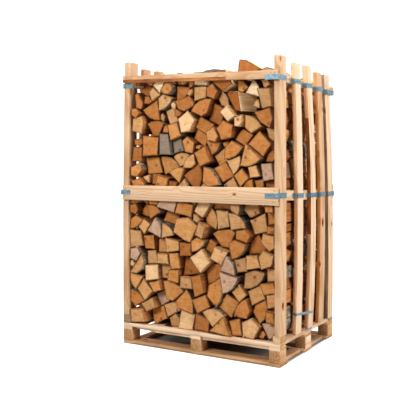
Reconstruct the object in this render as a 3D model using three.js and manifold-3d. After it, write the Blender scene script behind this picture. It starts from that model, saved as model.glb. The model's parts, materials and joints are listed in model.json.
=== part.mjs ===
// Firewood crate: split logs stacked on a four-way block pallet, kept in by side posts and rails.
// Millimetres. +Z is up, +X is right and the front faces -Y. The origin is on the ground,
// under the middle of the pallet.

import * as THREE from 'three';
import { mergeVertices } from 'three/addons/utils/BufferGeometryUtils.js';
import Module from 'manifold-3d';

const wasm = await Module();
wasm.setup();

// ---- driving dimensions ----

const palletWidth = 1200; // along X
const palletDepth = 920; // along Y
const boardThickness = 22; // every sawn pallet board and rail
const blockHeight = 78;
const touchGap = 0.3; // clearance between faces that rest on each other
const brokenEdge = 1.5; // small chamfer on sawn edges

const blockWidth = 75; // along X
const blockDepth = 97; // along Y
const middleBlockShift = -10; // the middle column stands slightly left of centre
const bottomBoardWidth = 120;
const wheelChamfer = 11; // on the lower edges of the bottom boards, between the blocks
const bottomStripWidth = 70;
const bottomStripInset = 32; // from the side of the pallet
const stringerSetBack = 18; // the front stringer's rough edge, between the blocks
const leadBoardWidth = 60;
const deckBoardWidth = 110;
const deckBoardCount = 7;
const deckInset = 10; // from the side of the pallet to the outermost deck board

const cornerPostDepth = 95; // along Y
const sidePostThickness = 28;
const sidePostDepth = 90;
const midRailHeight = 1048; // middle of the side rails half way up
const topRailHeight = 1796; // middle of the upper side rails
const sideMidRailWidth = 64;
const sideTopRailWidth = 54;
const crossRailReach = 596; // the rails across the front and back stop just short of the sides
const midRailFall = 24; // the side rails sink this much from front to back
const topRailFall = 42;

const strapThickness = 1.5;
const strapWidth = 33;
const strapSideEnd = 361; // the side leg runs back to this distance from the middle

const logRowCount = 3;
const logRowGap = 4;
const logFrontInset = 8; // from the front of the posts to the tips of the logs
const logSideInset = 48; // from the side of the pallet to the outermost logs
const railBandInset = 70; // the stack is narrower where a side rail passes

// ---- levels of the pallet, from the ground up ----

const bottomLevel = boardThickness;
const blockLevel = bottomLevel + blockHeight;
const stringerLevel = blockLevel + boardThickness;
const deckLevel = stringerLevel + boardThickness;

const halfWidth = palletWidth / 2;
const halfDepth = palletDepth / 2;

// ---- finishes ----

function timber(color, roughness = 0.8) {
  return new THREE.MeshStandardMaterial({ color, roughness, metalness: 0 });
}

const palePine = timber(0xe6c49a);
const palletPine = timber(0xcfa574);
const blockPine = timber(0xb98a5c, 0.85);
const splitBirch = timber(0xc8955a, 0.9);
const galvanisedSteel = new THREE.MeshStandardMaterial({
  color: 0x8fafc0,
  roughness: 0.4,
  metalness: 0.9,
});

const crate = new THREE.Group();

function add(name, geometry, material) {
  const mesh = new THREE.Mesh(geometry, material);
  mesh.name = name;
  crate.add(mesh);
  return mesh;
}

// ---- shapes ----

// A closed outline through points given as [across, up] pairs.
function outlineThrough(points) {
  return new THREE.Shape(points.map(([across, up]) => new THREE.Vector2(across, up)));
}

// A rectangle with its four corners broken.
function boardOutline(width, height) {
  const x = width / 2;
  const y = height / 2;
  const e = brokenEdge;
  return outlineThrough([
    [-x + e, -y],
    [x - e, -y],
    [x, -y + e],
    [x, y - e],
    [x - e, y],
    [-x + e, y],
    [-x, y - e],
    [-x, -y + e],
  ]);
}

// The outline given a thickness from 0 up along Z, with the edges of both faces broken.
function plate(outline, thickness) {
  const geometry = new THREE.ExtrudeGeometry(outline, {
    depth: thickness - 2 * brokenEdge,
    steps: 1,
    curveSegments: 1,
    bevelEnabled: true,
    bevelSegments: 1,
    bevelSize: brokenEdge,
    bevelThickness: brokenEdge,
    bevelOffset: -brokenEdge,
  });
  return geometry.translate(0, 0, brokenEdge);
}

// An outline drawn in X and Z, given its thickness along Y with the front face at frontY.
function uprightPlate(outline, thickness, frontY) {
  return plate(outline, thickness).rotateX(Math.PI / 2).translate(0, frontY + thickness, 0);
}

function toSolid(geometry) {
  const bare = geometry.clone();
  bare.deleteAttribute('normal');
  bare.deleteAttribute('uv');
  const merged = mergeVertices(bare, 1e-4);
  return new wasm.Manifold(
    new wasm.Mesh({
      numProp: 3,
      vertProperties: new Float32Array(merged.attributes.position.array),
      triVerts: new Uint32Array(merged.index.array),
    }),
  );
}

function toGeometry(solid) {
  const { vertProperties, triVerts } = solid.getMesh();
  const geometry = new THREE.BufferGeometry();
  geometry.setAttribute('position', new THREE.BufferAttribute(vertProperties, 3));
  geometry.setIndex(new THREE.BufferAttribute(triVerts, 1));
  return geometry;
}

// A sawn board: its size along X and Y, its centre, and the levels it fills.
function addBoard(name, sizeX, sizeY, centreX, centreY, bottom, top, material) {
  const mesh = add(name, plate(boardOutline(sizeX, sizeY), top - bottom), material);
  mesh.position.set(centreX, centreY, bottom);
}

// ---- pallet ----

const columns = [
  { name: 'left', x: -halfWidth + blockWidth / 2 },
  { name: 'centre', x: middleBlockShift },
  { name: 'right', x: halfWidth - blockWidth / 2 },
];
const rows = [
  { name: 'front', y: -halfDepth + blockDepth / 2, side: -1 },
  { name: 'middle', y: 0, side: 0 },
  { name: 'back', y: halfDepth - blockDepth / 2, side: 1 },
];

function addBlocks() {
  for (const row of rows) {
    for (const column of columns) {
      const name = `block_${row.name}_${column.name}`;
      const bottom = bottomLevel + touchGap;
      addBoard(name, blockWidth, blockDepth, column.x, row.y, bottom, blockLevel, blockPine);
    }
  }
}

// The stretches along X between the left, centre and right blocks.
function bays() {
  const margin = blockWidth / 2;
  return [
    [columns[0].x + margin, columns[1].x - margin],
    [columns[1].x + margin, columns[2].x - margin],
  ];
}

// A triangular bar that takes the chamfer off one lower edge of a board along X.
function chamferBar(from, to, edgeY, inwards) {
  const reach = wheelChamfer + 1;
  const outline = outlineThrough([
    [-1, -1],
    [reach, -1],
    [-1, reach],
  ]);
  const bar = new THREE.ExtrudeGeometry(outline, { depth: to - from, bevelEnabled: false });
  // The outline's first axis becomes +Y and its second +Z, and the bar runs along +X.
  bar.applyMatrix4(new THREE.Matrix4().set(0, 0, 1, from, 1, 0, 0, 0, 0, 1, 0, 0, 0, 0, 0, 1));
  if (inwards < 0) {
    bar.rotateZ(Math.PI).translate(from + to, 0, 0);
  }
  return toSolid(bar.translate(0, edgeY, 0));
}

// Three boards run the full width under the blocks. Their lower edges are chamfered between
// the blocks, so that wheels roll over them.
function addBottomBoards() {
  for (const row of rows) {
    const y = row.side * (halfDepth - bottomBoardWidth / 2);
    let board = toSolid(plate(boardOutline(palletWidth, bottomBoardWidth), boardThickness));
    for (const [from, to] of bays()) {
      for (const inwards of [1, -1]) {
        const edgeY = (-inwards * bottomBoardWidth) / 2;
        board = board.subtract(chamferBar(from, to, edgeY, inwards));
      }
    }
    add(`bottom_board_${row.name}`, toGeometry(board), palletPine).position.y = y;
  }
}

// Short strips close the bottom frame at both sides, between the full-width boards.
function addBottomStrips() {
  const length = halfDepth - 1.5 * bottomBoardWidth - 2 * touchGap;
  const x = halfWidth - bottomStripInset - bottomStripWidth / 2;
  const y = (halfDepth - bottomBoardWidth / 2) / 2;
  for (const side of [-1, 1]) {
    for (const end of [-1, 1]) {
      const name = `bottom_strip_${end < 0 ? 'front' : 'back'}_${side < 0 ? 'left' : 'right'}`;
      addBoard(name, bottomStripWidth, length, side * x, end * y, 0, bottomLevel, palletPine);
    }
  }
}

// Stringers tie each row of blocks together. The front one is cut from a rough board: between
// the blocks its front edge lies further back, most of all beside the left block.
function addStringers() {
  const bottom = blockLevel + touchGap;
  for (const row of rows.filter(({ side }) => side >= 0)) {
    const name = `stringer_${row.name}`;
    addBoard(name, palletWidth, blockDepth, 0, row.y, bottom, stringerLevel, palletPine);
  }
  const front = -blockDepth / 2;
  const [left, right] = bays();
  const outline = outlineThrough([
    [halfWidth, -front],
    [-halfWidth, -front],
    [-halfWidth, front],
    [left[0], front],
    [left[0] + 4, front + 2.6 * stringerSetBack],
    [left[0] + 120, front + 2.2 * stringerSetBack],
    [left[0] + 190, front + stringerSetBack],
    [left[1] - 10, front + stringerSetBack],
    [left[1], front],
    [right[0], front],
    [right[0] + 10, front + stringerSetBack],
    [right[1] - 10, front + stringerSetBack],
    [right[1], front],
    [halfWidth, front],
  ]);
  const height = stringerLevel - bottom;
  const mesh = add('stringer_front', plate(outline, height), palletPine);
  mesh.position.set(0, rows[0].y, bottom);
}

// A lead board closes the deck along the front and the back.
function addLeadBoards() {
  for (const row of rows.filter(({ side }) => side !== 0)) {
    const y = row.side * (halfDepth - leadBoardWidth / 2);
    const name = `lead_board_${row.name}`;
    const bottom = stringerLevel + touchGap;
    addBoard(name, palletWidth, leadBoardWidth, 0, y, bottom, deckLevel, palePine);
  }
}

// Deck boards run from front to back between the lead boards, evenly spaced.
function addDeckBoards() {
  const outer = halfWidth - deckInset - deckBoardWidth / 2;
  const length = 2 * (halfDepth - leadBoardWidth - touchGap);
  const bottom = stringerLevel + touchGap;
  for (let i = 0; i < deckBoardCount; i += 1) {
    const x = THREE.MathUtils.lerp(-outer, outer, i / (deckBoardCount - 1));
    addBoard(`deck_board_${i + 1}`, deckBoardWidth, length, x, 0, bottom, deckLevel, palePine);
  }
}

// ---- posts ----

// Each post stands at foot height, is pushed out or in by the load, and leans by its top.
// outer holds the distance from the middle of the crate to the outside face at the pallet,
// at the mid rail and at the top rail. corner is the thickness of a corner post along X; the
// thinner posts between them have none.
const posts = [
  { name: 'front', side: -1, y: -412.5, foot: 202, top: 1962, outer: [600, 600, 588], corner: 44 },
  { name: 'second', side: -1, y: -240, foot: deckLevel, top: 1934, outer: [590, 600, 580] },
  { name: 'third', side: -1, y: -85, foot: deckLevel, top: 1936, outer: [590, 612, 579] },
  { name: 'fourth', side: -1, y: 190, foot: deckLevel, top: 1905, outer: [590, 603, 576] },
  { name: 'back', side: -1, y: 412.5, foot: deckLevel, top: 1915, outer: [600, 600, 575], corner: 38 },
  { name: 'front', side: 1, y: -412.5, foot: 191, top: 1928, outer: [602, 600, 597], corner: 38 },
  { name: 'second', side: 1, y: -142, foot: deckLevel, top: 1916, outer: [590, 602, 583] },
  { name: 'third', side: 1, y: 59, foot: deckLevel, top: 1920, outer: [590, 612, 580] },
  { name: 'fourth', side: 1, y: 258, foot: deckLevel, top: 1896, outer: [590, 602, 577] },
  { name: 'back', side: 1, y: 412.5, foot: deckLevel, top: 1895, outer: [600, 600, 574], corner: 38 },
];
const postLevels = [deckLevel, midRailHeight, topRailHeight];
const postSteps = 12; // straight stretches that follow the bow of a post
const railSteps = 40; // and of a side rail

function sideName(side) {
  return side < 0 ? 'left' : 'right';
}

function thicknessOf(post) {
  return post.corner ?? sidePostThickness;
}

function depthOf(post) {
  return post.corner ? cornerPostDepth : sidePostDepth;
}

// The parabola through the three given places, as a distance from the middle of the crate.
function outerFaceAt(post, z) {
  const [z0, z1, z2] = postLevels;
  const [x0, x1, x2] = post.outer;
  return (
    (x0 * (z - z1) * (z - z2)) / ((z0 - z1) * (z0 - z2)) +
    (x1 * (z - z0) * (z - z2)) / ((z1 - z0) * (z1 - z2)) +
    (x2 * (z - z0) * (z - z1)) / ((z2 - z0) * (z2 - z1))
  );
}

function innerFaceAt(post, z) {
  return outerFaceAt(post, z) - thicknessOf(post);
}

function addPost(post) {
  const bottom = post.foot + touchGap;
  const outside = [];
  const inside = [];
  for (let i = 0; i <= postSteps; i += 1) {
    const z = THREE.MathUtils.lerp(bottom, post.top, i / postSteps);
    outside.push([post.side * outerFaceAt(post, z), z]);
    inside.unshift([post.side * innerFaceAt(post, z), z]);
  }
  const frontY = post.y - depthOf(post) / 2;
  const geometry = uprightPlate(outlineThrough([...outside, ...inside]), depthOf(post), frontY);
  add(`post_${post.name}_${sideName(post.side)}`, geometry, palePine);
}

// Blocks of waste timber lift the two front posts off the deck.
function addPostFeet() {
  for (const { side, width } of [{ side: -1, width: 61 }, { side: 1, width: 50 }]) {
    const post = posts.find((candidate) => candidate.corner && candidate.side === side);
    const x = side * (halfWidth - width / 2);
    const name = `post_foot_front_${sideName(side)}`;
    addBoard(name, width, cornerPostDepth, x, post.y, deckLevel + touchGap, post.foot, blockPine);
  }
}

// ---- rails ----

// A rail across the front or back, with the height and width that it has at each side.
function addCrossRail(name, end, left, right) {
  const leftEnd = -(left.reach ?? crossRailReach);
  const outline = outlineThrough([
    [leftEnd, left.height - left.width / 2],
    [crossRailReach, right.height - right.width / 2],
    [crossRailReach, right.height + right.width / 2],
    [leftEnd, left.height + left.width / 2],
  ]);
  const clear = halfDepth + touchGap;
  const frontY = end < 0 ? -clear - boardThickness : clear;
  add(name, uprightPlate(outline, boardThickness, frontY), palePine);
}

// A side rail runs inside the posts and is bowed outwards by them: its outside face passes
// just inside the post faces at its own height. Its back end lies lower by the fall.
function addSideRail(name, side, centre, width, fall) {
  const clear = touchGap + 0.2;
  const railStep = (2 * halfDepth) / railSteps;
  const along = posts.filter((post) => post.side === side);
  const slope = -fall / (2 * halfDepth);
  const levelsAt = ({ y }) => [-1, 1].map((edge) => centre + slope * y + (edge * width) / 2);
  const innerFace = (post) => Math.min(...levelsAt(post).map((z) => innerFaceAt(post, z)));
  const bow = new THREE.SplineCurve(
    along.map((post) => new THREE.Vector2(post.y, innerFace(post) - clear)),
  );
  const points = bow.getSpacedPoints(railSteps);
  const cornersClear = points.map(({ x: y, y: x }) => {
    const touching = along.filter((post) => Math.abs(y - post.y) <= depthOf(post) / 2 + railStep);
    return [Math.min(x, ...touching.map((post) => innerFace(post) - clear)), y];
  });
  const outside = cornersClear.map(([x, y]) => [side * x, y]);
  const inside = cornersClear.map(([x, y]) => [side * (x - boardThickness), y]).reverse();
  const geometry = plate(outlineThrough([...outside, ...inside]), width);
  geometry.applyMatrix4(new THREE.Matrix4().makeShear(0, 0, 0, slope, 0, 0));
  add(name, geometry.translate(0, 0, centre - width / 2), palePine);
}

// ---- corner straps ----

// A strip of perforated steel folded around a corner: one leg on the rail, one on the post.
function addCornerStrap(name, { side, end, leg, centre }, cornerX, faceY) {
  const t = strapThickness;
  const x = (distance) => side * distance;
  const y = (distance) => end * distance;
  const outline = outlineThrough([
    [x(cornerX - leg), y(faceY)],
    [x(cornerX), y(faceY)],
    [x(cornerX), y(strapSideEnd)],
    [x(cornerX + t), y(strapSideEnd)],
    [x(cornerX + t), y(faceY + t)],
    [x(cornerX - leg), y(faceY + t)],
  ]);
  const geometry = new THREE.ExtrudeGeometry(outline, { depth: strapWidth, bevelEnabled: false });
  add(name, geometry.translate(0, 0, centre - strapWidth / 2), galvanisedSteel);
}

const straps = [
  { level: 'mid', end: -1, side: -1, centre: 1060, leg: 79 },
  { level: 'mid', end: -1, side: 1, centre: 1062, leg: 94 },
  { level: 'mid', end: 1, side: -1, centre: 1060, leg: 84 },
  { level: 'mid', end: 1, side: 1, centre: 1040, leg: 84 },
  { level: 'top', end: -1, side: -1, centre: 1799, leg: 82, underRail: true },
  { level: 'top', end: -1, side: 1, centre: 1794, leg: 92 },
  { level: 'top', end: 1, side: -1, centre: 1800, leg: 84 },
  { level: 'top', end: 1, side: 1, centre: 1771, leg: 84 },
];

// A strap lies on the rail, or straight on the post where the rail passes above it, and its
// corner clears the widest place of the post along its own height.
function addStraps() {
  for (const strap of straps) {
    const post = posts.find(
      ({ corner, side, y }) => corner && side === strap.side && Math.sign(y) === strap.end,
    );
    const levels = [strap.centre - strapWidth / 2, strap.centre + strapWidth / 2];
    const postFace = Math.max(...levels.map((z) => outerFaceAt(post, z)));
    const cornerX = Math.max(postFace, crossRailReach) + touchGap;
    const faceY = halfDepth + touchGap + (strap.underRail ? 0 : boardThickness + touchGap);
    const endName = strap.end < 0 ? 'front' : 'back';
    addCornerStrap(`strap_${strap.level}_${endName}_${sideName(strap.side)}`, strap, cornerX, faceY);
  }
}

// ---- logs ----

// The stack is three rows of logs laid from front to back, one behind the other. Each row is
// a solid with the true outer shape of its logs.
function addLogRows() {
  const side = halfWidth - logSideInset;
  const band = halfWidth - railBandInset;
  const midBandHalf = sideMidRailWidth / 2 + midRailFall / 2 + 8;
  const midBand = [midRailHeight - midBandHalf, midRailHeight + midBandHalf];
  const topBand = topRailHeight - sideTopRailWidth / 2 - topRailFall / 2 - 8;
  const flank = [
    [side - 16, deckLevel + touchGap],
    [side - 16, 204],
    [side, 212],
    [side, midBand[0]],
    [band, midBand[0] + 5],
    [band, midBand[1] - 5],
    [side, midBand[1]],
    [side - 16, topBand - 8],
    [band - 26, topBand],
  ];
  const crests = [
    [[-490, 1868], [-300, 1872], [-120, 1866], [60, 1862], [230, 1868], [290, 1800], [504, 1798]],
    [[-470, 1880], [-250, 1892], [0, 1884], [150, 1874], [330, 1862], [504, 1850]],
    [[-480, 1876], [-200, 1884], [120, 1880], [360, 1872], [504, 1856]],
  ];
  const stackDepth = 2 * (halfDepth - logFrontInset);
  const rowDepth = (stackDepth - (logRowCount - 1) * logRowGap) / logRowCount;
  const mirrored = flank.map(([x, z]) => [-x, z]).reverse();
  rows.forEach((row, i) => {
    const crest = [...crests[i]].reverse();
    const outline = outlineThrough([...flank, ...crest, ...mirrored]);
    const frontY = -halfDepth + logFrontInset + i * (rowDepth + logRowGap);
    add(`log_row_${row.name}`, uprightPlate(outline, rowDepth, frontY), splitBirch);
  });
}

// One quarter-split log lies loose on the stack at the front, its back end lower.
function addLooseLog() {
  const length = 280;
  const outline = outlineThrough([
    [-74, 4],
    [58, 0],
    [86, 18],
    [-18, 80],
    [-70, 88],
  ]);
  const log = add('log_loose_top', uprightPlate(outline, length, 0), splitBirch);
  log.rotation.x = THREE.MathUtils.degToRad(-5);
  log.position.set(372, -442, 1838);
}

// ---- assembly ----

addBottomBoards();
addBottomStrips();
addBlocks();
addStringers();
addLeadBoards();
addDeckBoards();
addPostFeet();
posts.forEach(addPost);
addCrossRail('rail_mid_front', -1, { height: 1057, width: 98, reach: 589 }, { height: 1057, width: 110 });
addCrossRail('rail_top_front', -1, { height: 1843, width: 46, reach: 586 }, { height: 1808, width: 54 });
addCrossRail('rail_mid_back', 1, { height: 1056, width: 100 }, { height: 1056, width: 100 });
addCrossRail('rail_top_back', 1, { height: 1822, width: 52 }, { height: 1786, width: 52 });
for (const side of [-1, 1]) {
  addSideRail(`rail_mid_${sideName(side)}`, side, midRailHeight, sideMidRailWidth, midRailFall);
  addSideRail(`rail_top_${sideName(side)}`, side, topRailHeight, sideTopRailWidth, topRailFall);
}
addStraps();
addLogRows();
addLooseLog();

export default crate;
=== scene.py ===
import json
import math
import random

import bmesh
import bpy
import numpy as np
from mathutils import Matrix, Vector, noise

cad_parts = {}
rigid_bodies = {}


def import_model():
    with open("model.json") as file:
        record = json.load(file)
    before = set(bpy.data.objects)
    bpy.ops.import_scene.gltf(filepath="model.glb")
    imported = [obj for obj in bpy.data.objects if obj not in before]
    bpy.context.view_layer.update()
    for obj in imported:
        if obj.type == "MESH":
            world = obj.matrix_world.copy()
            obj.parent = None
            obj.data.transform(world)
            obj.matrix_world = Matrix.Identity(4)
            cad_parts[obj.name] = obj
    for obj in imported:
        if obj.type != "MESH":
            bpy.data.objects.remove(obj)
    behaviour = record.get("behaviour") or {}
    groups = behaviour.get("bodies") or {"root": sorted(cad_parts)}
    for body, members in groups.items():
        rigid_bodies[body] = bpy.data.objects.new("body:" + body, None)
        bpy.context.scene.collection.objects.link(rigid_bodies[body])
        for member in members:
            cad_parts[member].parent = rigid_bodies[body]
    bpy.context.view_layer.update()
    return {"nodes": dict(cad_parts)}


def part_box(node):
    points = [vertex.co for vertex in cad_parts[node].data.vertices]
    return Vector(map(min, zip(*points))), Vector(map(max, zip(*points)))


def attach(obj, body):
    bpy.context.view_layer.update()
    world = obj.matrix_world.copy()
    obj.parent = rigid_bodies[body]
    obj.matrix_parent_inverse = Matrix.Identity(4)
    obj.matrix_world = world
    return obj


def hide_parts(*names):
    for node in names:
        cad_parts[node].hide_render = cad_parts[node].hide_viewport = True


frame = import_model()
scene = bpy.context.scene
mm = 0.001
print("frame loaded:", len(frame["nodes"]), "pieces")


def hexToLinear(colour):
    parts = [int(colour[i:i + 2], 16) / 255 for i in (1, 3, 5)]
    return [c / 12.92 if c <= 0.04045 else ((c + 0.055) / 1.055) ** 2.4 for c in parts] + [1.0]


def addNode(tree, kind, inputs=None, out=None, stops=None, **settings):
    node = tree.nodes.new("ShaderNode" + kind)
    for name, value in settings.items():
        setattr(node, name, value)
    for name, value in (inputs or {}).items():
        named = [s for s in node.inputs if s.enabled and s.name == name]
        socket = node.inputs[name] if isinstance(name, int) else named[0]
        if isinstance(value, bpy.types.NodeSocket):
            tree.links.new(value, socket)
        else:
            socket.default_value = value
    if stops:  # a colour ramp's positions and colours
        ramp = node.color_ramp.elements
        while len(ramp) < len(stops):
            ramp.new(1.0)
        for element, (position, colour) in zip(ramp, stops):
            element.position = position
            element.color = hexToLinear(colour)
    shown = [s for s in node.outputs if s.enabled]
    if out:
        return next(s for s in shown if s.name == out)
    return shown[0] if shown else node


# Gives the material, its nodes and where its pattern lies: in an attribute or on the object.
def startMaterial(name, spaceName=None):
    material = bpy.data.materials.new(name)
    material.use_nodes = True
    tree = material.node_tree
    tree.nodes.clear()
    if spaceName:
        return material, tree, addNode(tree, "Attribute", out="Vector", attribute_name=spaceName)
    return material, tree, addNode(tree, "TexCoord", out="Object")


def finishMaterial(material, colour, roughness, height=None, bump=0.0, relief=0.0, metallic=0.0):
    tree = material.node_tree
    inputs = {"Base Color": colour, "Roughness": roughness, "Metallic": metallic}
    if height is not None:
        inputs["Normal"] = addNode(tree, "Bump", {"Height": height, "Strength": bump,
                                                  "Distance": relief * mm})
    addNode(tree, "OutputMaterial", {"Surface": addNode(tree, "BsdfPrincipled", inputs)})
    return material


# Waves about the tree's heart that stray with a slow noise and part round a knot.
def growthRings(tree, space, across, drift, p, bend=None):
    section = addNode(tree, "VectorMath", {0: space, 1: across}, operation="MULTIPLY")
    distance = addNode(tree, "VectorMath", {0: section}, out="Value", operation="LENGTH")
    distance = addNode(tree, "Math", {0: drift, 1: p["wander"] * mm, 2: distance},
                       operation="MULTIPLY_ADD")
    if bend is not None:
        distance = addNode(tree, "Math", {0: bend, 1: p["ringPitch"] * mm, 2: distance},
                           operation="MULTIPLY_ADD")
    phase = addNode(tree, "Math", {0: distance, 1: 2 * math.pi / (p["ringPitch"] * mm)},
                    operation="MULTIPLY")
    return addNode(tree, "Math", {0: phase}, operation="SINE")


# Sawn softwood, from the saw and never planed: growth rings cut along the board show as
# soft bands, knots as brown discs with an orange edge. It is dull and a little furry. The
# crate's boards are pale, the pallet's and the blocks are more handled, the middle side
# posts' front and back sides get a deeper orange as painted shade, and a few pieces are old
# wood used again.
sawnLooks = {
    "sawnPalePine": {"light": "#DABC98", "dark": "#C0976C", "halo": "#B0713C", "knot": "#653518",
                     "weathered": "#A08060", "dirt": 0.14},
    "sawnPalletPine": {"light": "#E0BF98", "dark": "#C2966A", "halo": "#A5632F", "knot": "#5C3419",
                       "weathered": "#8F7758", "dirt": 0.35},
    # a darker, more orange copy of the pale pine: painted shade for the front and back sides of the
    # middle side posts
    "sawnPineShadedSide": {"light": "#E2B078", "dark": "#C68C50", "halo": "#AA6830", "knot": "#653518",
                     "weathered": "#9A7048", "dirt": 0.15},
    "sawnBlockPine": {"light": "#DDBA92", "dark": "#C29262", "halo": "#A5703E", "knot": "#6A4322",
                      "weathered": "#9A8060", "dirt": 0.3},
    "sawnOldPine": {"light": "#A08260", "dark": "#7C5E40", "halo": "#6A4526", "knot": "#3E2614",
                    "weathered": "#5E4B38", "dirt": 0.5},
}
sawnPattern = {
    "ringPitch": 11,  # mm, drawn three times as coarse as real rings so that they show
    "streakLength": 420, "streakWidth": 7,  # mm, coarser than real fibres for the same reason
    "wander": 20, "drift": [1.6, 9.0, 9.0],  # mm that a ring strays, and how often in a metre
    "knotPitch": 120, "knotSize": 12, "knotStretch": 0.6,  # mm, and how long a knot is drawn
    "patch": 260,  # mm
    "relief": 0.5,  # mm
}


def makeSawnPine(name, look):
    p = sawnPattern
    light, dark, haloed, heart, old = (
        hexToLinear(look[part]) for part in ("light", "dark", "halo", "knot", "weathered"))
    material, tree, space = startMaterial(name, "grainSpace")
    tone = addNode(tree, "Attribute", out="Fac", attribute_name="tone")
    stretched = addNode(tree, "Mapping", {"Vector": space, "Scale": [
        1000 / p["streakLength"], 1000 / p["streakWidth"], 1000 / p["streakWidth"]]})
    streaks = addNode(tree, "TexNoise", {"Vector": stretched, "Scale": 1.0, "Detail": 3.0})
    slow = addNode(tree, "Mapping", {"Vector": space, "Scale": p["drift"]})
    drift = addNode(tree, "TexNoise", {"Vector": slow, "Scale": 1.0, "Detail": 1.0})
    squashed = addNode(tree, "Mapping", {"Vector": space, "Scale": [p["knotStretch"], 1.0, 1.0]})
    knots = addNode(tree, "TexVoronoi", {"Vector": squashed,
                                         "Scale": 1000 / p["knotPitch"]}).node.outputs
    knotRadius = p["knotSize"] / p["knotPitch"]
    bend = addNode(tree, "MapRange", {
        "Value": knots["Distance"], "From Max": 3 * knotRadius, "To Min": 1.0, "To Max": 0.0},
        interpolation_type="SMOOTHSTEP")
    rings = growthRings(tree, space, (0.02, 1.0, 1.0), drift, p, bend)
    late = addNode(tree, "MapRange", {"Value": rings, "From Min": -0.2, "To Max": 0.55})
    lit = addNode(tree, "Math", {0: streaks, 1: 1.1, 2: late}, operation="MULTIPLY_ADD")
    grain = addNode(tree, "MapRange", {"Value": lit, "From Min": 0.35, "From Max": 1.35})
    wood = addNode(tree, "Mix", {"Factor": grain, "A": light, "B": dark}, data_type="RGBA")
    luck = addNode(tree, "SeparateColor", {"Color": knots["Color"]}, out="Red")
    size = addNode(tree, "MapRange", {"Value": luck, "From Min": 0.2,
                                      "To Max": 1.35 * knotRadius})
    depth = addNode(tree, "Math", {0: size, 1: knots["Distance"]}, operation="SUBTRACT")
    for start, end, share, knotColour in ((-0.05, 0.0, 0.8, haloed), (0.0, 0.03, 1.0, heart)):
        inside = addNode(tree, "MapRange", {"Value": depth, "From Min": start, "From Max": end,
                                            "To Max": share})
        wood = addNode(tree, "Mix", {"Factor": inside, "A": wood, "B": knotColour},
                       data_type="RGBA")
    patches = addNode(tree, "TexNoise", {"Vector": squashed, "Scale": 1000 / p["patch"],
                                         "Detail": 6.0, "Roughness": 0.65})
    dirty = addNode(tree, "MapRange", {"Value": patches, "From Min": 0.48, "From Max": 0.75,
                                       "To Max": look["dirt"] * 2})
    weathered = addNode(tree, "Mix", {"Factor": dirty, "A": wood, "B": old}, data_type="RGBA")
    tinted = {"Color": weathered}
    for part, low, high in (("Value", 0.8, 1.12), ("Hue", 0.49, 0.5), ("Saturation", 1.15, 0.8)):
        tinted[part] = addNode(tree, "MapRange", {"Value": tone, "To Min": low, "To Max": high})
    colour = addNode(tree, "HueSaturation", tinted)
    ridges = addNode(tree, "Math", {0: streaks, 1: rings}, operation="ADD")
    return finishMaterial(material, colour, 0.78, ridges, 0.5, p["relief"])


# The same timber where the saw went across it: rings about the heart, darker and open-pored.
sawnEndPattern = {
    "ringPitch": 7, "wander": 2, "pore": 5,  # mm, twice as coarse as real so that they show
    "relief": 0.8,  # mm
}


def makeSawnEnd(name, look):
    p = sawnEndPattern
    material, tree, space = startMaterial(name, "grainSpace")
    tone = addNode(tree, "Attribute", out="Fac", attribute_name="tone")
    pores = addNode(tree, "TexNoise", {"Vector": space, "Scale": 1000 / p["pore"], "Detail": 3.0})
    rings = growthRings(tree, space, (0.0, 1.0, 1.0), pores, p)
    blend = addNode(tree, "Math", {0: rings, 1: 0.18, 2: pores}, operation="MULTIPLY_ADD")
    wood = addNode(tree, "ValToRGB", {"Fac": blend}, stops=[
        (0.3, look["knot"]), (0.42, look["halo"]), (0.55, look["dark"]), (0.75, look["light"])])
    brightness = addNode(tree, "MapRange", {"Value": tone, "To Min": 0.8, "To Max": 1.1})
    colour = addNode(tree, "HueSaturation", {"Color": wood, "Value": brightness})
    return finishMaterial(material, colour, 0.85, pores, 0.6, p["relief"])


# Gives a log's tone too, and how far that moves the pattern, so that no two logs are alike.
def startBirch(name):
    material, tree, space = startMaterial(name, "logSpace")
    tone = addNode(tree, "Attribute", out="Fac", attribute_name="tone")
    shift = addNode(tree, "Math", {0: tone, 1: 37.0}, operation="MULTIPLY")
    return material, tree, space, tone, shift


# The sawn end of an air-dried birch log: fine pale wood gone orange, faint rings about the
# heart, a few knots and chain marks. Its colour differs from log to log.
logEndPattern = {
    "ringPitch": 9, "wander": 20,  # mm, rings three times as coarse as real so that they show
    "speckle": 7, "blotch": 30,  # mm, speckle coarser than the real pores for the same reason
    "sawLength": 70, "sawWidth": 9,  # mm
    "knotPitch": 75, "knot": "#6E3A16",  # mm
    "relief": 0.9,  # mm
    "tones": [(0.0, "#A66C3A"), (0.12, "#BA7E4A"), (0.3, "#C8905C"), (0.46, "#CC9C6C"),
              (0.58, "#C9A074"), (0.66, "#BC9066"), (0.74, "#D4A678"), (0.8, "#E2BD94"),
              (0.85, "#A8672F"), (0.9, "#EFD6B0"), (0.95, "#C2A088"), (0.99, "#8E8070")],
}


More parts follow.
